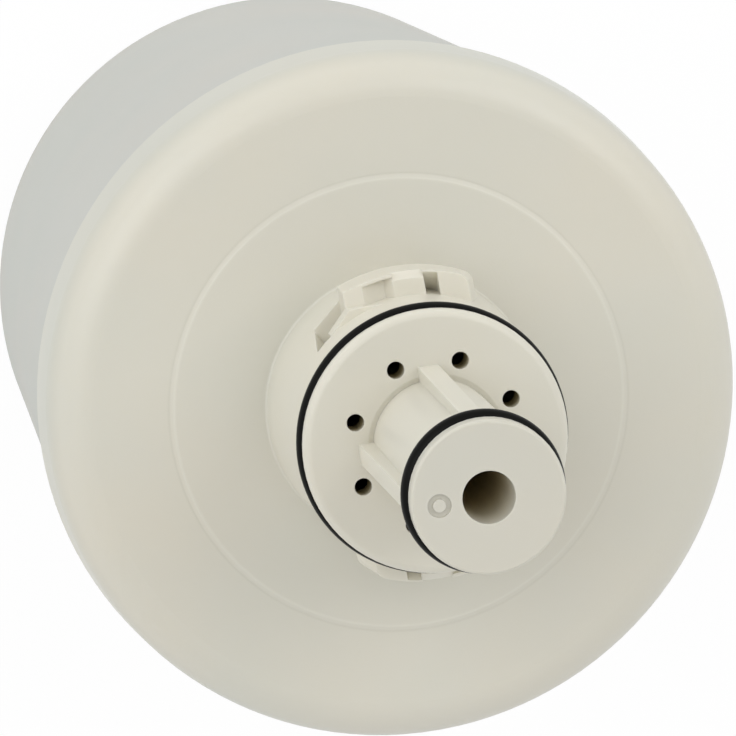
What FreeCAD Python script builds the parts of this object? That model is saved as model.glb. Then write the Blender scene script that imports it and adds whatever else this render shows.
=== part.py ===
import FreeCAD, Part
import math
import os

V = FreeCAD.Vector

# All sizes are millimetres. The cartridge stands on its closed base with the nozzle up, axis on Z.

# body, outside and walls
body_radius = 35.6          # at the weld line
body_taper = 0.7            # draft: narrower at the base by this
body_height = 74.4          # base to the weld line
body_wall = 2.2
base_wall = 2.8
base_rounding = 3.2
inner_rounding = 1.0
base_recess_radius = 26.0   # shallow hollow that leaves a ring to stand on
base_recess_depth = 0.8
gate_radius = 1.3           # stub left where the body's moulding was fed
gate_height = 0.4
weld_bead = 0.3             # how far the weld's bead stands out of the body
weld_bead_height = 0.7

# cap
cap_radius = 36.4           # at the rim
cap_taper = 0.9             # draft: narrower at the face by this
cap_height = 9.2            # weld line to the flat face
cap_rounding = 4.4
rim_rounding = 0.3
cap_wall = 4.0
witness_radius = 23.5       # fine step on the cap's face, left by the mould's insert
witness_width = 0.5
witness_height = 0.12
tongue_length = 6.0         # how far the cap's tongue reaches into the body
tongue_wall = 2.4
weld_clearance = 0.1

# neck
neck_foot_radius = 13.8
neck_top_radius = 13.15
neck_foot_fillet = 0.3
shoulder_height = 20.35     # cap face to the shoulder's front
shoulder_radius = 13.1
shoulder_lip = 1.1          # plastic in front of the inlet seal
shoulder_rounding = 0.8
shoulder_plate = 2.8
chamber_radius = 9.6        # water way inside the neck

# seals and their grooves
seal_section = 1.78
inlet_seal_bore = 23.4
outlet_seal_bore = 11.8
spigot_seal_section = 1.5
groove_slack = 0.8          # groove wider than the seal by this
spigot_groove_slack = 0.2
seat_clearance = 0.04       # seal to the floor of its groove, and the inner seal to its socket

# bayonet, one set at the back of the neck and one at the front, half a turn apart
bayonet_sets = 2
bayonet_clock = 10.5
tooth_bite = 0.4            # how far the teeth root in the neck
lug_low = 8.0               # heights are above the cap's face
lug_top = 12.3
lug_left = -5.3             # places across the set, at the tooth's top
lug_right = 7.1
lug_radius = 15.7
lug_lead = 1.2              # slope of the leading end over the tooth's height
lug_corner = 1.3            # rounding of the outer corner at that end
ramp_fall = 0.6             # how much lower the tooth's top starts at the other end
catch_left = -3.4           # hollow that holds the filter head's cam, scooped from the ramp to the stop
catch_floor = -1.1
catch_depth = 0.85
catch_skin = 0.35           # wall left outside the hollow
stop_left = -0.3
stop_bevel = 0.7
core_left = 2.8             # core-out beside the stop, its floor falling inwards to the neck's wall
core_width = 1.4
core_depth = 3.2
core_skin = 0.15
land_side = 13.2            # thin straight-sided land over the tooth, distance from the axis
land_left = -5.2
land_slant = 2.2            # its left side leaves at 45 degrees, over this length
land_thickness = 0.9        # above the tooth's top
land_drop = 1.0             # below the tooth's top
entry_clock = 30.5          # slanting recess where the cam enters, turned from the tooth by this
entry_left = -1.7
entry_right = 2.1
entry_slant = 1.1           # how far its left side leans out towards the land
entry_floor = 12.0          # distance of its back wall from the axis
guide_clock = 39.0          # flat-sided shelf that carries the recess out to the tooth's end
guide_left = 0.45
guide_right = 4.5
guide_side = 13.76          # distance of its flat side from the axis
guide_edge = 0.8            # height of that side, above the slope back to the neck

# stem and nozzle
tip_height = 45.9           # cap face to the nozzle's tip
tip_radius = 7.2
tip_lip = 1.4               # plastic in front of the outlet seal
tip_rounding = 0.3
tip_flange = 1.2            # plastic behind the outlet seal
stem_radius = 6.25
stem_moat_width = 0.55      # fine sloping groove round the stem's foot
stem_moat_depth = 0.2
rib_count = 4
rib_foot_radius = 7.7
rib_width = 2.0
rib_clock = 7.0
bore_radius = 2.47
bore_length = 22.0          # tip down to the wider tube below
tip_gate_offset = 4.6       # feed mark on the tip's face
tip_gate_clock = 188.0
tip_gate_radius = 1.1
tip_gate_depth = 0.3
tip_gate_nub = 0.6
inlet_count = 8
inlet_radius = 0.86
inlet_circle = 8.34
inlet_clock = 29.5

# water way from the filter block up to the nozzle
tube_radius = 5.6
tube_bore_radius = 2.9
socket_wall = 1.7
socket_drop = 17.5          # cap face down to the socket's mouth
socket_depth = 11.0
spigot_clearance = 0.15
spigot_radius = 5.6
spigot_length = 9.6
spigot_bore_radius = 2.6
spigot_shoulder = 1.5       # plastic above the spigot's seal

# filter block and its end caps
water_gap = 1.7             # body's inner wall to the rims of the end caps
block_bore_radius = 6.0
wrap_thickness = 0.9
glue_clearance = 0.1
end_plate = 2.0
end_rim_height = 4.0
end_rim_wall = 1.4
end_boss_height = 4.0
end_boss_wall = 1.6
seat_gap = 0.5              # socket's mouth to the upper end cap
foot_count = 6
foot_height = 3.0
foot_width = 2.0
foot_length = 8.0
fin_clearance = 0.3

# places that follow from the sizes above
face_z = body_height + cap_height
tip_z = face_z + tip_height
shoulder_z = face_z + shoulder_height
face_radius = cap_radius - cap_taper
step_z = face_z + witness_height
base_radius = body_radius - body_taper
body_inner = body_radius - body_wall
base_inner = base_radius - body_wall
block_bottom = base_wall + foot_height + end_plate
block_top = face_z - socket_drop - seat_gap - end_plate
rim_outer = base_inner - water_gap
rim_inner = rim_outer - end_rim_wall
wrap_radius = rim_inner - glue_clearance
block_radius = wrap_radius - wrap_thickness
socket_bore = spigot_radius + spigot_clearance
spigot_seal_bore = 2 * (socket_bore - seat_clearance - spigot_seal_section)
groove_width = seal_section + groove_slack
spigot_groove_width = spigot_seal_section + spigot_groove_slack
inlet_seal_z = shoulder_z - shoulder_lip - groove_width / 2
outlet_seal_z = tip_z - tip_lip - groove_width / 2
spigot_seal_z = block_top + end_plate + spigot_length - spigot_shoulder - spigot_groove_width / 2


def face_of(corners):
    return Part.Face(Part.makePolygon(corners + corners[:1]))


def revolved(points):
    """Full turn about Z of a closed outline given as radius and height."""
    face = face_of([V(r, 0, z) for r, z in points])
    return face.revolve(V(0, 0, 0), V(0, 0, 1), 360)


def tube(inner, outer, low, high):
    return revolved([(inner, low), (outer, low), (outer, high), (inner, high)])


def turned(shape, angle):
    copy = shape.copy()
    copy.rotate(V(0, 0, 0), V(0, 0, 1), angle)
    return copy


def pattern(shape, count, start=0.0):
    return [turned(shape, start + 360.0 * k / count) for k in range(count)]


def circles_at(shape, radius, height):
    """Edges of the shape that are circles of this radius at this height."""
    found = []
    for edge in shape.Edges:
        curve = edge.Curve
        if not isinstance(curve, Part.Circle):
            continue
        if abs(curve.Radius - radius) < 1e-4 and abs(curve.Center.z - height) < 1e-4:
            found.append(edge)
    return found


def seal_ring(bore, section, height):
    return Part.makeTorus(bore / 2 + section / 2, section / 2, V(0, 0, height))


def sump():
    rim = body_radius + weld_bead
    shell = revolved([
        (0, 0), (base_radius, 0),
        (body_radius, body_height - weld_bead_height - weld_bead),
        (rim, body_height - weld_bead_height), (rim, body_height),
        (body_inner, body_height), (base_inner, base_wall), (0, base_wall)])
    shell = shell.makeFillet(base_rounding, circles_at(shell, base_radius, 0))
    shell = shell.makeFillet(inner_rounding, circles_at(shell, base_inner, base_wall))
    hollow = Part.makeCylinder(base_recess_radius, base_recess_depth)
    stub = Part.makeCylinder(gate_radius, gate_height, V(0, 0, base_recess_depth - gate_height))
    return shell.cut(hollow).fuse(stub)


def head_turning():
    """The head as one turned profile, from the nozzle's tip down to the socket inside."""
    tip_back = tip_z - tip_lip - groove_width
    shoulder_back = shoulder_z - shoulder_lip - groove_width
    outlet_floor = outlet_seal_bore / 2 - seat_clearance
    inlet_floor = inlet_seal_bore / 2 - seat_clearance
    moat = stem_radius + stem_moat_width
    tongue = body_inner - weld_clearance
    tongue_end = tongue - body_taper * tongue_length / (body_height - base_wall)
    tongue_inner = tongue_end - tongue_wall
    half_step = witness_width / 2
    mouth = face_z - socket_drop
    chamber_top = shoulder_z - shoulder_plate
    return revolved([
        (bore_radius, tip_z), (tip_radius, tip_z), (tip_radius, tip_z - tip_lip),
        (outlet_floor, tip_z - tip_lip), (outlet_floor, tip_back),
        (tip_radius, tip_back), (tip_radius, tip_back - tip_flange), (stem_radius, tip_back - tip_flange),
        (stem_radius, shoulder_z - stem_moat_depth), (moat, shoulder_z),
        (shoulder_radius, shoulder_z), (shoulder_radius, shoulder_z - shoulder_lip),
        (inlet_floor, shoulder_z - shoulder_lip), (inlet_floor, shoulder_back),
        (neck_top_radius, shoulder_back), (neck_foot_radius, step_z),
        (witness_radius - half_step, step_z), (witness_radius + half_step, face_z),
        (face_radius, face_z), (cap_radius, body_height), (tongue, body_height),
        (tongue_end, body_height - tongue_length), (tongue_inner, body_height - tongue_length),
        (tongue_inner, face_z - cap_wall), (chamber_radius, face_z - cap_wall),
        (chamber_radius, chamber_top), (tube_radius, chamber_top),
        (tube_radius, mouth + socket_depth + socket_wall),
        (socket_bore + socket_wall, mouth + socket_depth), (socket_bore + socket_wall, mouth),
        (socket_bore, mouth), (socket_bore, mouth + socket_depth), (tube_bore_radius, mouth + socket_depth),
        (tube_bore_radius, tip_z - bore_length), (bore_radius, tip_z - bore_length)])


def bar_across(side, radius):
    """Bar with this side face, carried across the neck's wall out to a round of this radius."""
    root = neck_top_radius - tooth_bite
    return side.extrude(V(0, 2 * radius, 0)).common(tube(root, radius, face_z, shoulder_z))


def leading_edge(shape):
    """The tooth's outer corner at its leading end."""
    middle = face_z + (lug_low + lug_top) / 2
    return max(shape.Edges, key=lambda edge: edge.CenterOfMass.x - abs(edge.CenterOfMass.z - middle)
               + math.hypot(edge.CenterOfMass.x, edge.CenterOfMass.y))


def tooth():
    """The bayonet's long tooth, its top a ramp up to the catch and the stop."""
    low = face_z + lug_low
    top = face_z + lug_top
    side = face_of([
        V(lug_left, 0, low), V(lug_right + lug_lead, 0, low), V(lug_right, 0, top), V(catch_left, 0, top),
        V(lug_left, 0, top - ramp_fall)])
    bar = bar_across(side, lug_radius)
    bar = bar.makeFillet(lug_corner, [leading_edge(bar)])
    return bar.cut([catch(), bevel(), core_out()])


def catch():
    """Cutter for the hollow, a scoop that runs level into the foot of the sloping stop."""
    top = face_z + lug_top
    reach = catch_floor - catch_left
    scoop = (reach ** 2 + catch_depth ** 2) / (2 * catch_depth)
    half_turn = math.asin(reach / scoop) / 2
    floor = top - catch_depth
    crest = V(catch_left, 0, top)
    middle = V(catch_floor - scoop * math.sin(half_turn), 0, floor + scoop * (1 - math.cos(half_turn)))
    lowest = V(catch_floor, 0, floor)
    stop = V(stop_left, 0, top)
    curve = Part.Arc(crest, middle, lowest).toShape()
    outline = Part.Wire([curve, Part.makeLine(lowest, stop), Part.makeLine(stop, crest)])
    return bar_across(Part.Face(outline), lug_radius - catch_skin)


def bevel():
    """Cutter for the sloping outer edge of the stop."""
    top = face_z + lug_top
    ring = revolved([
        (lug_radius - stop_bevel, top), (lug_radius, top - stop_bevel), (lug_radius + stop_bevel, top)])
    slab_corner = V(stop_left, 0, top - stop_bevel)
    slab = Part.makeBox(core_left - stop_left, 2 * lug_radius, stop_bevel, slab_corner)
    return ring.common(slab)


def core_out():
    """Cutter for the core-out, its floor falling from the tooth's outer edge to the neck."""
    top = face_z + lug_top
    root = neck_top_radius - tooth_bite
    wedge = revolved([(root, top - core_depth), (lug_radius - core_skin, top), (root, top)])
    slot = Part.makeBox(core_width, lug_radius, core_depth, V(core_left, 0, top - core_depth))
    return wedge.common(slot)


def land():
    """Thin straight-sided land over the tooth, overhanging the recess beside it."""
    low = face_z + lug_top - land_drop
    plan = face_of([
        V(0, land_side, low), V(land_left, land_side, low),
        V(land_left - land_slant, land_side - land_slant, low), V(0, land_side - land_slant, low)])
    return plan.extrude(V(0, 0, land_drop + land_thickness))


def entry_recess():
    """Cutter for the slanting recess beside the tooth that lets the filter head's cam in."""
    low = face_z + lug_low
    high = face_z + lug_top + land_thickness
    side = face_of([
        V(entry_left, entry_floor, low), V(entry_right, entry_floor, low),
        V(entry_right, entry_floor, high), V(entry_left - entry_slant, entry_floor, high)])
    return turned(side.extrude(V(0, lug_radius - entry_floor, 0)), entry_clock)


def guide():
    """Shelf level with the recess's floor, its flat side leaving the neck towards the tooth's end."""
    high = face_z + lug_low
    root = math.sqrt(neck_top_radius ** 2 - guide_right ** 2) - tooth_bite
    fall = guide_side - root
    side = face_of([
        V(guide_left, root, high), V(guide_left, guide_side, high),
        V(guide_left, guide_side, high - guide_edge), V(guide_left, root, high - guide_edge - fall)])
    return turned(side.extrude(V(guide_right - guide_left, 0, 0)), guide_clock)


def stem_rib():
    """One straight rib, drafted from its foot up to the flange behind the outlet seal."""
    low = shoulder_z - stem_moat_depth
    high = outlet_seal_z - groove_width / 2
    root = (stem_radius + bore_radius) / 2
    bar = Part.makeBox(rib_foot_radius, rib_width, high - low, V(0, -rib_width / 2, low))
    return bar.common(revolved([(root, low), (rib_foot_radius, low), (tip_radius, high), (root, high)]))


def head():
    body = head_turning()
    body = body.makeFillet(cap_rounding, circles_at(body, face_radius, face_z))
    body = body.makeFillet(rim_rounding, circles_at(body, cap_radius, body_height))
    body = body.makeFillet(neck_foot_fillet, circles_at(body, neck_foot_radius, step_z))
    body = body.makeFillet(shoulder_rounding, circles_at(body, shoulder_radius, shoulder_z))
    body = body.makeFillet(tip_rounding, circles_at(body, tip_radius, tip_z))
    body = body.cut(pattern(entry_recess(), bayonet_sets, bayonet_clock))
    added = pattern(stem_rib(), rib_count, rib_clock)
    for piece in (tooth(), land(), guide()):
        added += pattern(piece, bayonet_sets, bayonet_clock)
    body = body.fuse(added)
    inlet_start = V(inlet_circle, 0, shoulder_z - 1.5 * shoulder_plate)
    inlet = Part.makeCylinder(inlet_radius, 2 * shoulder_plate, inlet_start)
    removed = pattern(inlet, inlet_count, inlet_clock)
    gate = tube(tip_gate_nub, tip_gate_radius, tip_z - tip_gate_depth, tip_z)
    gate.translate(V(tip_gate_offset, 0, 0))
    removed.append(turned(gate, tip_gate_clock))
    return body.cut(removed).removeSplitter()


def upper_end_cap():
    top = block_top + end_plate
    spigot_top = top + spigot_length
    groove_floor = spigot_seal_bore / 2 - seat_clearance
    groove_high = spigot_top - spigot_shoulder
    groove_low = groove_high - spigot_groove_width
    boss = block_bore_radius - glue_clearance
    return revolved([
        (spigot_bore_radius, spigot_top), (spigot_radius, spigot_top), (spigot_radius, groove_high),
        (groove_floor, groove_high), (groove_floor, groove_low), (spigot_radius, groove_low),
        (spigot_radius, top), (rim_outer, top), (rim_outer, block_top - end_rim_height),
        (rim_inner, block_top - end_rim_height), (rim_inner, block_top), (boss, block_top),
        (boss, block_top - end_boss_height), (boss - end_boss_wall, block_top - end_boss_height),
        (boss - end_boss_wall, block_top), (spigot_bore_radius, block_top)])


def lower_end_cap():
    boss = block_bore_radius - glue_clearance
    low = block_bottom - end_plate
    cup = revolved([
        (0, low), (rim_outer, low), (rim_outer, block_bottom + end_rim_height),
        (rim_inner, block_bottom + end_rim_height), (rim_inner, block_bottom), (boss, block_bottom),
        (boss, block_bottom + end_boss_height), (boss - end_boss_wall, block_bottom + end_boss_height),
        (boss - end_boss_wall, block_bottom), (0, block_bottom)])
    foot_corner = V(rim_inner - foot_length, -foot_width / 2, base_wall)
    foot = Part.makeBox(foot_length, foot_width, foot_height, foot_corner)
    fin_root = rim_outer - end_rim_wall / 2
    fin = Part.makeBox(base_inner - fin_clearance - fin_root, foot_width, end_plate + end_rim_height,
                       V(fin_root, -foot_width / 2, low))
    return cup.fuse(pattern(foot, foot_count) + pattern(fin, foot_count)).removeSplitter()


def carbon_block():
    return tube(block_bore_radius, block_radius, block_bottom, block_top)


def prefilter_wrap():
    return tube(block_radius, wrap_radius, block_bottom, block_top)


def inlet_seal():
    return seal_ring(inlet_seal_bore, seal_section, inlet_seal_z)


def outlet_seal():
    return seal_ring(outlet_seal_bore, seal_section, outlet_seal_z)


def spigot_seal():
    return seal_ring(spigot_seal_bore, spigot_seal_section, spigot_seal_z)


os.makedirs("parts", exist_ok=True)
for make in (sump, head, inlet_seal, outlet_seal, carbon_block, prefilter_wrap,
             upper_end_cap, lower_end_cap, spigot_seal):
    shape = make()
    shape.exportStep("parts/" + make.__name__ + ".step")
    print(make.__name__, shape.isValid(), len(shape.Solids), round(shape.Volume, 1))
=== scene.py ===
"""Looks of a fridge water filter cartridge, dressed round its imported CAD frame.

Everything is in metres, in the CAD frame: the cartridge stands on its closed base, nozzle up.
"""

import logging
import math
from dataclasses import dataclass
from enum import Enum

import bpy
from mathutils import Matrix, Vector


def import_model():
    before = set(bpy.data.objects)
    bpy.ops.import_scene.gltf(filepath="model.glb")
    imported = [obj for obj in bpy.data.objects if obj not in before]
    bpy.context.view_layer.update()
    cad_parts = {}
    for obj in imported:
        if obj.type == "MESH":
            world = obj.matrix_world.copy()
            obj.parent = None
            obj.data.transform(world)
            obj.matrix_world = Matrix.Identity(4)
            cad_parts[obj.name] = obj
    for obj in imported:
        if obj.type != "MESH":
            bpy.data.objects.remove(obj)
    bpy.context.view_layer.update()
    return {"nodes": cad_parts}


LOG = logging.getLogger("cartridge")
MILLIMETRE = 0.001

Colour = tuple[float, float, float, float]
Point = tuple[float, float, float]
Wire = bpy.types.NodeSocket

# The curve that turns screen values into linear light.
SCREEN_MAX = 255
CURVE_KNEE = 0.04045
CURVE_SLOPE = 12.92
CURVE_OFFSET = 0.055
CURVE_POWER = 2.4

NOISE_MIDDLE = 0.5
ACROSS_AXIS: Point = (1.0, 1.0, 0.0)
PLAIN_TONE: Colour = (0.6, 0.6, 0.6, 1.0)
WHITE: Colour = (1.0, 1.0, 1.0, 1.0)

SHOULDER_HEIGHT = 103.95 * MILLIMETRE
TIP_HEIGHT = 129.5 * MILLIMETRE


def linear(red: int, green: int, blue: int) -> Colour:
    """Turn a colour given as screen values into the linear values that shaders take.

    Args:
        red: Red, from 0 to 255.
        green: Green, from 0 to 255.
        blue: Blue, from 0 to 255.

    Returns:
        The linear colour with full alpha.
    """
    channels = []
    for value in (red, green, blue):
        share = value / SCREEN_MAX
        if share <= CURVE_KNEE:
            channels.append(share / CURVE_SLOPE)
        else:
            channels.append(((share + CURVE_OFFSET) / (1.0 + CURVE_OFFSET)) ** CURVE_POWER)
    return (channels[0], channels[1], channels[2], 1.0)


def even(share: float) -> Colour:
    """Give a tone that has the same share of red, green and blue."""
    return (share, share, share, 1.0)


class Socket(Enum):
    """Kinds of socket that a shader group can have."""

    VALUE = "NodeSocketFloat"
    COLOUR = "NodeSocketColor"
    VECTOR = "NodeSocketVector"


class Blend(Enum):
    """Ways of mixing two colours."""

    MIX = "MIX"
    MULTIPLY = "MULTIPLY"


class Grain(Enum):
    """How fine a moulded surface is: the width of one grain, in metres."""

    SATIN = 0.00030
    MATT = 0.00045
    RUBBER = 0.00018


class LampRole(Enum):
    """What a studio lamp is there for."""

    KEY = "key"
    FILL = "fill"
    TOP = "top"


class NodeSheet:
    """A node tree with short calls for adding nodes and joining them."""

    def __init__(self, tree: bpy.types.NodeTree) -> None:
        """Keep the tree and clear it."""
        self.tree = tree
        tree.nodes.clear()

    def add(self, kind: str, **settings: object) -> bpy.types.Node:
        """Add one node.

        Args:
            kind: The node's type name without the leading ShaderNode.
            **settings: Properties to set on the node.

        Returns:
            The new node.
        """
        full_name = kind if kind.startswith("Node") else "ShaderNode" + kind
        node = self.tree.nodes.new(full_name)
        for name, value in settings.items():
            setattr(node, name, value)
        return node

    def join(self, output: Wire, target: Wire) -> None:
        """Link an output to an input."""
        self.tree.links.new(output, target)

    def feed(self, target: Wire, value: object) -> None:
        """Give an input its value.

        Args:
            target: The input.
            value: A socket to link to it, or the plain value to set on it.
        """
        if isinstance(value, Wire):
            self.join(value, target)
        else:
            target.default_value = value

    def math(self, operation: str, first: Wire | float, second: Wire | float | None = None,
             clamp: bool = False) -> Wire:
        """Add a sum, product or other operation on one or two values.

        Args:
            operation: The Math node's operation.
            first: A socket or a number.
            second: A socket, a number, or nothing for an operation on one value.
            clamp: Whether the result is kept between 0 and 1.

        Returns:
            The socket that holds the result.
        """
        node = self.add("Math", operation=operation, use_clamp=clamp)
        self.feed(node.inputs[0], first)
        if second is not None:
            self.feed(node.inputs[1], second)
        return node.outputs[0]

    def vector(self, operation: str, first: Wire,
               second: Wire | Point | None = None) -> bpy.types.Node:
        """Add an operation on one or two vectors.

        Args:
            operation: The Vector Math node's operation.
            first: The first vector's socket.
            second: A socket, three numbers, or nothing for an operation on one vector.

        Returns:
            The new node, whose result is in its Vector or its Value output.
        """
        node = self.add("VectorMath", operation=operation)
        self.join(first, node.inputs[0])
        if second is not None:
            self.feed(node.inputs[1], second)
        return node

    def mix(self, share: Wire | float, first: Wire | Colour, second: Wire | Colour,
            way: Blend = Blend.MIX) -> Wire:
        """Mix two colours.

        Args:
            share: How much of the second colour, as a socket or a number.
            first: The first colour, as a socket or four numbers.
            second: The second colour, as a socket or four numbers.
            way: The way of mixing.

        Returns:
            The socket that holds the mixed colour.
        """
        node = self.add("Mix", data_type="RGBA", blend_type=way.value)
        inputs = {entry.identifier: entry for entry in node.inputs}
        self.feed(inputs["Factor_Float"], share)
        self.feed(inputs["A_Color"], first)
        self.feed(inputs["B_Color"], second)
        return next(entry for entry in node.outputs if entry.identifier == "Result_Color")

    def blend(self, share: Wire, first: bpy.types.Node, second: bpy.types.Node) -> bpy.types.Node:
        """Mix two shaders.

        Args:
            share: How much of the second shader.
            first: The first shader's node.
            second: The second shader's node.

        Returns:
            The node that mixes them.
        """
        node = self.add("MixShader")
        for target, source in zip(node.inputs, (share, first.outputs[0], second.outputs[0])):
            self.join(source, target)
        return node

    def place(self) -> Wire:
        """Give each point's place in the CAD frame."""
        return self.add("TexCoord").outputs["Object"]

    def noise(self, where: Wire, scale: Wire | float, detail: float) -> Wire:
        """Add soft noise.

        Args:
            where: The place that the noise is read at.
            scale: How many patches there are to a metre, as a socket or a number.
            detail: How many finer layers the noise has.

        Returns:
            The socket that holds the noise, from 0 to 1.
        """
        node = self.add("TexNoise")
        node.inputs["Detail"].default_value = detail
        self.join(where, node.inputs["Vector"])
        self.feed(node.inputs["Scale"], scale)
        return node.outputs["Fac"]

    def bump(self, height: Wire, depth: float, normal: Wire | None = None) -> Wire:
        """Turn a height into a bumpy normal.

        Args:
            height: The height, from 0 to 1.
            depth: How deep the full height is, in metres.
            normal: The normal to start from, where it isn't the surface's own.

        Returns:
            The socket that holds the normal.
        """
        node = self.add("Bump")
        node.inputs["Distance"].default_value = depth
        self.join(height, node.inputs["Height"])
        if normal is not None:
            self.join(normal, node.inputs["Normal"])
        return node.outputs["Normal"]


class SurfaceGroup:
    """A shader node group with named inputs and outputs, built once and shared."""

    title = "surface"

    def __init__(self) -> None:
        """Make the empty group and let the subclass fill it."""
        self.tree = bpy.data.node_groups.new(self.title, "ShaderNodeTree")
        self.sheet = NodeSheet(self.tree)
        self.entry = self.sheet.add("NodeGroupInput")
        self.exit = self.sheet.add("NodeGroupOutput")
        self.fill()

    def fill(self) -> None:
        """Add the group's sockets and nodes."""
        raise NotImplementedError

    def take(self, name: str, kind: Socket, default: object) -> Wire:
        """Add a named input.

        Args:
            name: The input's name.
            kind: The kind of socket.
            default: The value it has until a material sets its own.

        Returns:
            The socket inside the group.
        """
        made = self.tree.interface.new_socket(name=name, in_out="INPUT", socket_type=kind.value)
        made.default_value = default
        return self.entry.outputs[name]

    def give(self, name: str, kind: Socket, source: Wire) -> None:
        """Add a named output and feed it."""
        self.tree.interface.new_socket(name=name, in_out="OUTPUT", socket_type=kind.value)
        self.sheet.join(source, self.exit.inputs[name])

    def put(self, sheet: NodeSheet, **values: object) -> bpy.types.Node:
        """Put the group into a material.

        Args:
            sheet: The material's node sheet.
            **values: Input values, with spaces in the names written as underscores.

        Returns:
            The group node.
        """
        node = sheet.add("Group", node_tree=self.tree)
        for name, value in values.items():
            node.inputs[name.replace("_", " ")].default_value = value
        return node


class MouldGrain(SurfaceGroup):
    """Fine grain that a mould leaves, with patches where the gloss differs a little."""

    title = "mould_grain"
    usual_roughness = 0.5
    usual_spread = 0.08
    grain_detail = 2.0
    patches_per_metre = 90.0
    patch_detail = 3.0

    def fill(self) -> None:
        """Build the height of the grain and the roughness that goes with it."""
        sheet = self.sheet
        width = self.take("Grain Width", Socket.VALUE, Grain.MATT.value)
        roughness = self.take("Roughness", Socket.VALUE, self.usual_roughness)
        spread = self.take("Gloss Spread", Socket.VALUE, self.usual_spread)
        where = sheet.place()
        grain = sheet.noise(where, sheet.math("DIVIDE", 1.0, width), self.grain_detail)
        patches = sheet.noise(where, self.patches_per_metre, self.patch_detail)
        shift = sheet.math("MULTIPLY", sheet.math("SUBTRACT", patches, NOISE_MIDDLE), spread)
        self.give("Height", Socket.VALUE, grain)
        self.give("Roughness", Socket.VALUE, sheet.math("ADD", roughness, shift, clamp=True))


class FlowTint(SurfaceGroup):
    """Slow change of tone that the plastic's flow leaves in a moulding."""

    title = "flow_tint"
    usual_patch = 0.03
    detail = 2.0
    contrast = 4.0

    def fill(self) -> None:
        """Mix the base tone with a warmer and a cooler one in wide, soft patches."""
        sheet = self.sheet
        base = self.take("Base Tone", Socket.COLOUR, PLAIN_TONE)
        warm = self.take("Warm Tone", Socket.COLOUR, PLAIN_TONE)
        cool = self.take("Cool Tone", Socket.COLOUR, PLAIN_TONE)
        patch = self.take("Patch Width", Socket.VALUE, self.usual_patch)
        wide = sheet.noise(sheet.place(), sheet.math("DIVIDE", 1.0, patch), self.detail)
        signed = sheet.math("MULTIPLY", sheet.math("SUBTRACT", wide, NOISE_MIDDLE), self.contrast)
        warmed = sheet.mix(sheet.math("MAXIMUM", signed, 0.0, clamp=True), base, warm)
        cooled = sheet.mix(sheet.math("MULTIPLY", signed, -1.0, clamp=True), warmed, cool)
        self.give("Colour", Socket.COLOUR, cooled)


class SoftEdge(SurfaceGroup):
    """Small radius that every moulded edge has, and a mask of where the edges are, which carries
    the painted highlight on them.
    """

    title = "soft_edge"
    usual_radius = 0.2 * MILLIMETRE
    samples = 6
    gain = 16.0

    def fill(self) -> None:
        """Round the shading over the edges and measure how far it was turned."""
        sheet = self.sheet
        radius = self.take("Radius", Socket.VALUE, self.usual_radius)
        bevel = sheet.add("Bevel", samples=self.samples)
        sheet.join(radius, bevel.inputs["Radius"])
        rounded = bevel.outputs["Normal"]
        straight = sheet.add("NewGeometry").outputs["Normal"]
        along = sheet.vector("DOT_PRODUCT", rounded, straight).outputs["Value"]
        turned = sheet.math("SUBTRACT", 1.0, along)
        self.give("Normal", Socket.VECTOR, rounded)
        self.give("Edge", Socket.VALUE, sheet.math("MULTIPLY", turned, self.gain, clamp=True))


@dataclass(frozen=True)
class GroupSet:
    """The shared shader groups."""

    grain: MouldGrain
    tint: FlowTint
    edge: SoftEdge


def blank_material(name: str) -> tuple[bpy.types.Material, NodeSheet]:
    """Make a material with no nodes.

    Args:
        name: The material's name.

    Returns:
        The material and its node sheet.
    """
    material = bpy.data.materials.new(name)
    material.use_nodes = True
    return material, NodeSheet(material.node_tree)


def shaded_material(name: str) -> tuple[bpy.types.Material, NodeSheet, bpy.types.Node]:
    """Make a material with one Principled shader on its output.

    Args:
        name: The material's name.

    Returns:
        The material, its node sheet and the shader node.
    """
    material, sheet = blank_material(name)
    shader = sheet.add("BsdfPrincipled")
    output = sheet.add("OutputMaterial")
    sheet.join(shader.outputs["BSDF"], output.inputs["Surface"])
    return material, sheet, shader


@dataclass(frozen=True)
class LightAndShadeStop:
    """Painted light and shade: how much of the base tone a moulding shows at one height above the
    base.
    """

    height: float
    share: Colour


@dataclass(frozen=True)
class ShadedWell:
    """Painted shade in a hole down the axis, or in a ring of holes round it: the wall's tone
    turns darker and warmer deep inside, standing in for shade and for light passing through the
    plastic.
    """

    circle: float
    reach: float
    mouth: float
    fade: float
    tone: Colour

    def mask(self, sheet: NodeSheet, from_axis: Wire, height: Wire) -> Wire:
        """Mask the painted shade on the hole's wall, the more the deeper it is.

        Args:
            sheet: The material's node sheet.
            from_axis: How far a point is from the axis.
            height: How high a point is above the base.

        Returns:
            A socket that is 0 outside and at the mouth, and 1 deep inside.
        """
        off = sheet.math("ABSOLUTE", sheet.math("SUBTRACT", from_axis, self.circle))
        inside = sheet.math("LESS_THAN", off, self.reach)
        down = sheet.math("SUBTRACT", self.mouth, height)
        return sheet.math("MULTIPLY", inside, sheet.math("DIVIDE", down, self.fade, clamp=True))


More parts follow.
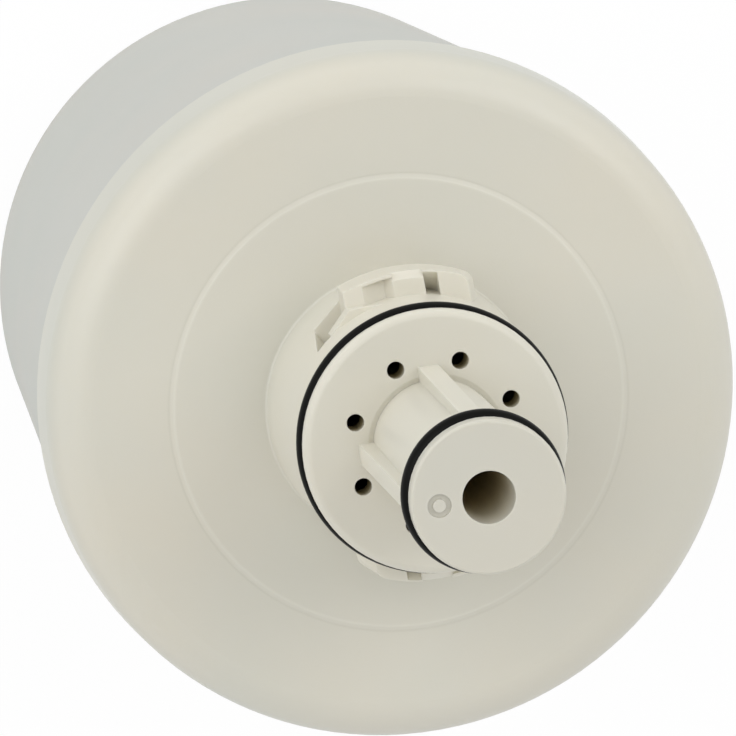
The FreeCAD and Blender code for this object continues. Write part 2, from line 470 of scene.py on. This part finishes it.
@dataclass(frozen=True)
class MouldedPlastic:
    """Injection-moulded plastic: a base tone that drifts a little, fine grain and soft edges with
    a painted highlight.
    """

    name: str
    base: Colour
    warm: Colour
    cool: Colour
    # The lighter tone of the painted highlights on the edges and, in the head, along the witness
    # line.
    edge: Colour
    grain: Grain
    grain_depth: float = 0.006 * MILLIMETRE
    roughness: float = 0.36
    gloss_spread: float = 0.10
    patch_width: float = 28.0 * MILLIMETRE
    edge_radius: float = 0.12 * MILLIMETRE
    edge_highlight_share: float = 0.5
    refraction: float = 1.49
    specular_level: float = 0.5
    translucency: float = 0.25
    glow_reach: float = 1.2 * MILLIMETRE
    glow_tint: Point = (1.0, 0.95, 0.80)

    def tone(self, sheet: NodeSheet, colour: Wire) -> Wire:
        """Give the plastic's own tone, which is plain unless a moulding changes it."""
        return colour

    def material(self, groups: GroupSet) -> bpy.types.Material:
        """Build the material.

        Args:
            groups: The shared shader groups.

        Returns:
            The finished material.
        """
        made, sheet, shader = shaded_material(self.name)
        tint = groups.tint.put(sheet, Base_Tone=self.base, Warm_Tone=self.warm,
                               Cool_Tone=self.cool, Patch_Width=self.patch_width)
        edge = groups.edge.put(sheet, Radius=self.edge_radius)
        grain = groups.grain.put(sheet, Grain_Width=self.grain.value, Roughness=self.roughness,
                                 Gloss_Spread=self.gloss_spread)
        # Painted highlight: the tone turns toward the lighter edge tone where the bevel turns the
        # normal.
        edge_highlight_mask = sheet.math("MULTIPLY", edge.outputs["Edge"], self.edge_highlight_share)
        tone = sheet.mix(edge_highlight_mask, tint.outputs["Colour"], self.edge)
        bumpy = sheet.bump(grain.outputs["Height"], self.grain_depth, edge.outputs["Normal"])
        sheet.join(self.tone(sheet, tone), shader.inputs["Base Color"])
        sheet.join(bumpy, shader.inputs["Normal"])
        sheet.join(grain.outputs["Roughness"], shader.inputs["Roughness"])
        shader.inputs["IOR"].default_value = self.refraction
        shader.inputs["Specular IOR Level"].default_value = self.specular_level
        shader.inputs["Subsurface Weight"].default_value = self.translucency
        shader.inputs["Subsurface Scale"].default_value = self.glow_reach
        shader.inputs["Subsurface Radius"].default_value = self.glow_tint
        return made


@dataclass(frozen=True)
class HeadPlastic(MouldedPlastic):
    """The head's plastic, with painted light and shade by height, a painted highlight and a
    painted shadow line along the mould insert's witness line, and painted shade in the holes.
    """

    light_and_shade_stops: tuple[LightAndShadeStop, ...] = ()
    shaded_wells: tuple[ShadedWell, ...] = ()
    witness_radius: float = 23.5 * MILLIMETRE
    witness_offset: float = 0.28 * MILLIMETRE
    witness_width: float = 0.22 * MILLIMETRE
    # Tone and shares of the painted shadow line at the step's outer foot and of the painted
    # highlight at its inner edge.
    witness_shadow_tone: Colour = linear(150, 146, 128)
    witness_shadow_share: float = 0.10
    witness_highlight_share: float = 0.50

    def tone(self, sheet: NodeSheet, colour: Wire) -> Wire:
        """Paint a highlight and a shadow line along the insert's witness line, shade in the
        holes, and light and shade by height.

        Args:
            sheet: The material's node sheet.
            colour: The tone before the change.

        Returns:
            The socket that holds the changed tone.
        """
        where = sheet.place()
        flat = sheet.vector("MULTIPLY", where, ACROSS_AXIS).outputs["Vector"]
        from_axis = sheet.vector("LENGTH", flat).outputs["Value"]
        parts = sheet.add("SeparateXYZ")
        sheet.join(where, parts.inputs[0])
        height = parts.outputs["Z"]
        # Painted highlight along the inner edge of the witness line's step.
        inner = self.line(sheet, from_axis, self.witness_radius - self.witness_offset)
        light = sheet.math("MULTIPLY", inner, self.witness_highlight_share)
        colour = sheet.mix(light, colour, self.edge)
        # Painted shadow line along the outer foot of the step.
        outer = self.line(sheet, from_axis, self.witness_radius + self.witness_offset)
        dark = sheet.math("MULTIPLY", outer, self.witness_shadow_share)
        colour = sheet.mix(dark, colour, self.witness_shadow_tone)
        # Painted shade deep in the bore and the inlet holes.
        for well in self.shaded_wells:
            colour = sheet.mix(well.mask(sheet, from_axis, height), colour, well.tone)
        # Painted light and shade by height.
        return sheet.mix(1.0, colour, self.painted_light_at_height(sheet, height), Blend.MULTIPLY)

    def line(self, sheet: NodeSheet, from_axis: Wire, radius: float) -> Wire:
        """Mask a fine round line, soft on both sides.

        Args:
            sheet: The material's node sheet.
            from_axis: How far a point is from the axis.
            radius: The line's radius.

        Returns:
            A socket that is 1 on the line and 0 away from it.
        """
        off = sheet.math("ABSOLUTE", sheet.math("SUBTRACT", from_axis, radius))
        widths = sheet.math("DIVIDE", off, self.witness_width)
        return sheet.math("SUBTRACT", 1.0, widths, clamp=True)

    def painted_light_at_height(self, sheet: NodeSheet, height: Wire) -> Wire:
        """Tell how much of its tone the plastic shows at each height, as painted light and shade.

        Args:
            sheet: The material's node sheet.
            height: How high a point is above the base.

        Returns:
            The socket that holds the share.
        """
        low, high = self.light_and_shade_stops[0].height, self.light_and_shade_stops[-1].height
        rise = sheet.math("DIVIDE", sheet.math("SUBTRACT", height, low), high - low, clamp=True)
        ramp = sheet.add("ValToRGB")
        marks = ramp.color_ramp.elements
        marks[0].color, marks[1].color = self.light_and_shade_stops[0].share, self.light_and_shade_stops[-1].share
        for stop in self.light_and_shade_stops[1:-1]:
            marks.new((stop.height - low) / (high - low)).color = stop.share
        sheet.join(rise, ramp.inputs["Fac"])
        return ramp.outputs["Color"]


@dataclass(frozen=True)
class SealRubber:
    """Black moulded rubber with a thin film of grease that varies in gloss."""

    name: str = "seal_rubber_black"
    base: Colour = linear(7, 7, 5)
    worn: Colour = linear(13, 12, 10)
    grain: Grain = Grain.RUBBER
    grain_depth: float = 0.004 * MILLIMETRE
    roughness: float = 0.38
    gloss_spread: float = 0.22
    bloom_width: float = 3.5 * MILLIMETRE
    specular_level: float = 0.10

    def material(self, groups: GroupSet) -> bpy.types.Material:
        """Build the material.

        Args:
            groups: The shared shader groups.

        Returns:
            The finished material.
        """
        made, sheet, shader = shaded_material(self.name)
        tint = groups.tint.put(sheet, Base_Tone=self.base, Warm_Tone=self.worn,
                               Cool_Tone=self.base, Patch_Width=self.bloom_width)
        grain = groups.grain.put(sheet, Grain_Width=self.grain.value, Roughness=self.roughness,
                                 Gloss_Spread=self.gloss_spread)
        bumpy = sheet.bump(grain.outputs["Height"], self.grain_depth)
        sheet.join(tint.outputs["Colour"], shader.inputs["Base Color"])
        sheet.join(bumpy, shader.inputs["Normal"])
        sheet.join(grain.outputs["Roughness"], shader.inputs["Roughness"])
        shader.inputs["Specular IOR Level"].default_value = self.specular_level
        return made


@dataclass(frozen=True)
class PressedCarbon:
    """Carbon grains pressed and baked into a porous block."""

    name: str = "pressed_carbon"
    grain_tone: Colour = linear(52, 52, 54)
    pore_shade_tone: Colour = linear(14, 14, 15)
    grain_width: float = 0.7 * MILLIMETRE
    pore_depth: float = 0.12 * MILLIMETRE
    roughness: float = 0.85

    def material(self) -> bpy.types.Material:
        """Build the material: grains stand out of pores, with painted shade from each grain's
        crown into the pores.

        Returns:
            The finished material.
        """
        made, sheet, shader = shaded_material(self.name)
        cells = sheet.add("TexVoronoi")
        cells.inputs["Scale"].default_value = 1.0 / self.grain_width
        sheet.join(sheet.place(), cells.inputs["Vector"])
        crown = sheet.math("SUBTRACT", 1.0, cells.outputs["Distance"], clamp=True)
        # Painted shade: the tone darkens from each grain's crown into the pores between grains.
        tone = sheet.mix(crown, self.pore_shade_tone, self.grain_tone)
        sheet.join(tone, shader.inputs["Base Color"])
        sheet.join(sheet.bump(crown, self.pore_depth), shader.inputs["Normal"])
        shader.inputs["Roughness"].default_value = self.roughness
        return made


@dataclass(frozen=True)
class FeltSleeve:
    """Felted plastic fibres wrapped round the block."""

    name: str = "felt_sleeve"
    fibre_tone: Colour = linear(236, 236, 232)
    gap_shade_tone: Colour = linear(196, 196, 190)
    fibre_width: float = 0.4 * MILLIMETRE
    fibre_stretch: float = 7.0
    fibre_detail: float = 3.0
    fibre_depth: float = 0.08 * MILLIMETRE
    roughness: float = 0.92

    def material(self) -> bpy.types.Material:
        """Build the material: two sets of stretched fibres laid across each other, with painted
        shade in the gaps between them.

        Returns:
            The finished material.
        """
        made, sheet, shader = shaded_material(self.name)
        where = sheet.place()
        slow = 1.0 / self.fibre_stretch
        layers = []
        for stretch in ((1.0, 1.0, slow), (slow, slow, 1.0)):
            mapping = sheet.add("Mapping")
            mapping.inputs["Scale"].default_value = stretch
            sheet.join(where, mapping.inputs["Vector"])
            laid = mapping.outputs["Vector"]
            layers.append(sheet.noise(laid, 1.0 / self.fibre_width, self.fibre_detail))
        lie = sheet.math("MAXIMUM", layers[0], layers[1], clamp=True)
        # Painted shade: darker in the gaps where no fibre lies on top.
        tone = sheet.mix(lie, self.gap_shade_tone, self.fibre_tone)
        sheet.join(tone, shader.inputs["Base Color"])
        sheet.join(sheet.bump(lie, self.fibre_depth), shader.inputs["Normal"])
        shader.inputs["Roughness"].default_value = self.roughness
        return made


def dress(node: bpy.types.Object, material: bpy.types.Material) -> None:
    """Give a CAD node its finish.

    Args:
        node: The CAD node's object.
        material: The finish that it wears.
    """
    node.data.materials.clear()
    node.data.materials.append(material)
    LOG.info("%s wears %s", node.name, material.name)


# Painted light and shade by height: the skirt and the rim's rounding darker, the top of the
# rounding lighter, the side walls of the neck and stem lighter, the shoulder and the tip's top
# darker, as the light falls on them.
HEAD_LIGHT_AND_SHADE = (
    LightAndShadeStop(74.4 * MILLIMETRE, (0.850, 0.872, 0.878, 1.0)),  # skirt
    LightAndShadeStop(79.2 * MILLIMETRE, (0.835, 0.858, 0.864, 1.0)),
    LightAndShadeStop(80.3 * MILLIMETRE, (0.845, 0.864, 0.868, 1.0)),  # rim's rounding
    LightAndShadeStop(81.4 * MILLIMETRE, (0.895, 0.900, 0.903, 1.0)),
    LightAndShadeStop(82.2 * MILLIMETRE, (0.935, 0.936, 0.938, 1.0)),
    LightAndShadeStop(83.8 * MILLIMETRE, even(0.922)),  # cap's face
    LightAndShadeStop(87.0 * MILLIMETRE, even(1.0)),  # neck
    LightAndShadeStop(103.0 * MILLIMETRE, even(1.0)),
    LightAndShadeStop(SHOULDER_HEIGHT, even(0.925)),
    LightAndShadeStop(105.0 * MILLIMETRE, even(1.0)),  # stem
    LightAndShadeStop(127.0 * MILLIMETRE, even(1.0)),
    LightAndShadeStop(TIP_HEIGHT, even(0.845)),
)
# Painted shade deep in the bore and the inlet holes, warmed to stand in for light passing through
# the plastic.
OUTLET_BORE_SHADE = ShadedWell(circle=0.0, reach=2.6 * MILLIMETRE, mouth=TIP_HEIGHT, fade=9.0 * MILLIMETRE,
                   tone=linear(210, 196, 162))
INLET_HOLES_SHADE = ShadedWell(circle=8.35 * MILLIMETRE, reach=0.95 * MILLIMETRE, mouth=SHOULDER_HEIGHT,
                   fade=1.2 * MILLIMETRE, tone=linear(160, 148, 112))


@dataclass
class Housing:
    """The welded shell: the closed body and the head with its cap, neck and nozzle."""

    body_finish: MouldedPlastic = MouldedPlastic(
        name="body_plastic_cool_white", base=linear(194, 195, 189), warm=linear(197, 196, 189),
        cool=linear(191, 194, 188), edge=linear(202, 203, 197), grain=Grain.MATT, roughness=0.65,
        specular_level=0.2)
    head_finish: HeadPlastic = HeadPlastic(
        name="head_plastic_cream", base=linear(213, 210, 197), warm=linear(216, 211, 196),
        cool=linear(210, 209, 197), edge=linear(222, 220, 208), grain=Grain.SATIN,
        light_and_shade_stops=HEAD_LIGHT_AND_SHADE, shaded_wells=(OUTLET_BORE_SHADE, INLET_HOLES_SHADE))

    def dress(self, nodes: dict[str, bpy.types.Object], groups: GroupSet) -> None:
        """Finish the body and the head.

        Args:
            nodes: The CAD nodes by name.
            groups: The shared shader groups.
        """
        dress(nodes["sump"], self.body_finish.material(groups))
        dress(nodes["head"], self.head_finish.material(groups))


@dataclass
class SealSet:
    """The three rubber rings."""

    rings: tuple[str, ...] = ("inlet_seal", "outlet_seal", "spigot_seal")
    finish: SealRubber = SealRubber()

    def dress(self, nodes: dict[str, bpy.types.Object], groups: GroupSet) -> None:
        """Finish the rings, which share one rubber.

        Args:
            nodes: The CAD nodes by name.
            groups: The shared shader groups.
        """
        rubber = self.finish.material(groups)
        for ring in self.rings:
            dress(nodes[ring], rubber)


@dataclass
class FilterElement:
    """What is sealed inside: the carbon block, its felt and its two end caps."""

    block_finish: PressedCarbon = PressedCarbon()
    sleeve_finish: FeltSleeve = FeltSleeve()
    end_caps: tuple[str, ...] = ("upper_end_cap", "lower_end_cap")
    cap_finish: MouldedPlastic = MouldedPlastic(
        name="end_cap_plastic_white", base=linear(222, 222, 219), warm=linear(224, 222, 217),
        cool=linear(218, 220, 219), edge=linear(230, 230, 228), grain=Grain.MATT)

    def dress(self, nodes: dict[str, bpy.types.Object], groups: GroupSet) -> None:
        """Finish the inner pieces.

        Args:
            nodes: The CAD nodes by name.
            groups: The shared shader groups.
        """
        dress(nodes["carbon_block"], self.block_finish.material())
        dress(nodes["prefilter_wrap"], self.sleeve_finish.material())
        white = self.cap_finish.material(groups)
        for end_cap in self.end_caps:
            dress(nodes[end_cap], white)


@dataclass(frozen=True)
class Lamp:
    """A square soft light, placed by direction round the object."""

    role: LampRole
    azimuth: float
    elevation: float
    distance: float
    width: float
    power: float

    def build(self, aim: Vector) -> bpy.types.Object:
        """Hang the lamp so that it faces the object.

        Args:
            aim: The point that the lamp faces.

        Returns:
            The lamp object.
        """
        data = bpy.data.lights.new(self.role.value + "_lamp", "AREA")
        data.energy = self.power
        data.size = self.width
        lamp = bpy.data.objects.new(data.name, data)
        turn, rise = math.radians(self.azimuth), math.radians(self.elevation)
        flat = math.cos(rise)
        out = Vector((flat * math.cos(turn), flat * math.sin(turn), math.sin(rise)))
        lamp.location = aim + out * self.distance
        lamp.rotation_euler = out.to_track_quat("Z", "Y").to_euler()
        bpy.context.scene.collection.objects.link(lamp)
        return lamp


@dataclass
class Studio:
    """The floor, the light all round, the lamps and the camera."""

    floor_half_width: float = 3.0
    floor_gap: float = 0.05 * MILLIMETRE
    floor_opening: float = 31.7 * MILLIMETRE
    floor_tone: Colour = linear(208, 208, 208)
    floor_seen_tone: Colour = linear(252, 252, 252)
    floor_glow: float = 0.95
    sky_horizon: float = 1.62
    sky_zenith: float = 0.17
    sky_lean: float = 0.20
    sky_lean_azimuth: float = 116.0
    lamp_aim: Point = (0.0, 0.0, 0.084)
    lamps: tuple[Lamp, ...] = (
        Lamp(LampRole.KEY, azimuth=150.0, elevation=50.0, distance=2.4, width=1.8, power=16.4),
        Lamp(LampRole.FILL, azimuth=42.0, elevation=50.0, distance=2.4, width=1.4, power=11.6),
        Lamp(LampRole.TOP, azimuth=290.0, elevation=68.0, distance=0.7, width=0.5, power=0.46),
    )
    camera_place: Point = (-0.06743, 0.07324, 0.46391)
    camera_aim: Point = (-0.00339, 0.00386, 0.0836)
    picture_up: Point = (0.0, 1.0, 0.0)
    camera_lens: float = 188.49
    sensor_width: float = 36.0
    clip_start: float = 0.01

    def build(self) -> None:
        """Set up everything round the object."""
        self.lay_floor()
        self.light_world()
        for lamp in self.lamps:
            made = lamp.build(Vector(self.lamp_aim))
            LOG.info("%s hangs", made.name)
        self.place_camera()

    def seen_directly(self, sheet: NodeSheet) -> Wire:
        """Tell rays that show the background from rays that light the object.

        Args:
            sheet: The node sheet of the floor or the world.

        Returns:
            A socket that is 1 for camera, glossy and transmitted rays.
        """
        path = sheet.add("LightPath")
        some = sheet.math("ADD", path.outputs["Is Camera Ray"], path.outputs["Is Glossy Ray"])
        return sheet.math("ADD", some, path.outputs["Is Transmission Ray"], clamp=True)

    def lay_floor(self) -> None:
        """Lay the plain floor, just clear of the base, which keeps the object's shadow."""
        half, low = self.floor_half_width, -self.floor_gap
        mesh = bpy.data.meshes.new("studio_floor")
        corners = [(-half, -half, low), (half, -half, low), (half, half, low), (-half, half, low)]
        mesh.from_pydata(corners, [], [(0, 1, 2, 3)])
        mesh.materials.append(self.floor_material())
        floor = bpy.data.objects.new(mesh.name, mesh)
        bpy.context.scene.collection.objects.link(floor)

    def floor_material(self) -> bpy.types.Material:
        """Make a pale finish that looks white, and is clear from below and under the base.

        Returns:
            The finished material.
        """
        made, sheet = blank_material("studio_floor_white")
        matt = sheet.add("BsdfDiffuse")
        seen = self.seen_directly(sheet)
        sheet.join(sheet.mix(seen, self.floor_tone, self.floor_seen_tone), matt.inputs["Color"])
        glowing = sheet.math("MULTIPLY", seen, self.floor_glow)
        pale = sheet.blend(glowing, matt, sheet.add("Emission"))
        from_axis = sheet.vector("LENGTH", sheet.place()).outputs["Value"]
        opening = sheet.math("LESS_THAN", from_axis, self.floor_opening)
        below = sheet.add("NewGeometry").outputs["Backfacing"]
        open_there = sheet.math("MAXIMUM", below, opening)
        sided = sheet.blend(open_there, pale, sheet.add("BsdfTransparent"))
        sheet.join(sided.outputs[0], sheet.add("OutputMaterial").inputs["Surface"])
        return made

    def sky_strength(self, sheet: NodeSheet) -> Wire:
        """Work out the light from each direction, strongest from the sides and from one of them.

        Args:
            sheet: The world's node sheet.

        Returns:
            The socket that holds the strength.
        """
        where = sheet.add("TexCoord").outputs["Generated"]
        direction = sheet.add("SeparateXYZ")
        sheet.join(where, direction.inputs[0])
        steepness = sheet.math("ABSOLUTE", direction.outputs["Z"])
        change = sheet.math("MULTIPLY", steepness, self.sky_zenith - self.sky_horizon)
        upright = sheet.math("ADD", change, self.sky_horizon)
        turn = math.radians(self.sky_lean_azimuth)
        lean = (self.sky_lean * math.cos(turn), self.sky_lean * math.sin(turn), 0.0)
        aside = sheet.vector("DOT_PRODUCT", where, lean).outputs["Value"]
        return sheet.math("ADD", upright, aside)

    def light_world(self) -> None:
        """Give soft light from all round, with plain white where it is seen directly."""
        world = bpy.data.worlds.new("studio_world")
        bpy.context.scene.world = world
        world.use_nodes = True
        sheet = NodeSheet(world.node_tree)
        lighting = sheet.add("Background")
        backdrop = sheet.add("Background")
        for shade in (lighting, backdrop):
            shade.inputs["Color"].default_value = WHITE
        sheet.join(self.sky_strength(sheet), lighting.inputs["Strength"])
        shown = sheet.blend(self.seen_directly(sheet), lighting, backdrop)
        sheet.join(shown.outputs[0], sheet.add("OutputWorld").inputs["Surface"])

    def place_camera(self) -> None:
        """Look down on the nozzle from the photograph's viewpoint, with +Y up in the picture."""
        data = bpy.data.cameras.new("camera")
        data.lens = self.camera_lens
        data.sensor_width = self.sensor_width
        data.clip_start = self.clip_start
        camera = bpy.data.objects.new(data.name, data)
        place = Vector(self.camera_place)
        back = (place - Vector(self.camera_aim)).normalized()
        right = Vector(self.picture_up).cross(back).normalized()
        up = back.cross(right)
        turned = Matrix((right, up, back)).transposed().to_4x4()
        camera.matrix_world = Matrix.Translation(place) @ turned
        bpy.context.scene.collection.objects.link(camera)
        bpy.context.scene.camera = camera


def main() -> None:
    """Load the frame, dress each sub-assembly and set up the studio."""
    logging.basicConfig(level=logging.INFO, format="%(name)s: %(message)s")
    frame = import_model()
    bpy.context.scene.view_settings.view_transform = "Standard"
    groups = GroupSet(grain=MouldGrain(), tint=FlowTint(), edge=SoftEdge())
    for assembly in (Housing(), SealSet(), FilterElement()):
        assembly.dress(frame["nodes"], groups)
    Studio().build()


if __name__ == "__main__":
    main()
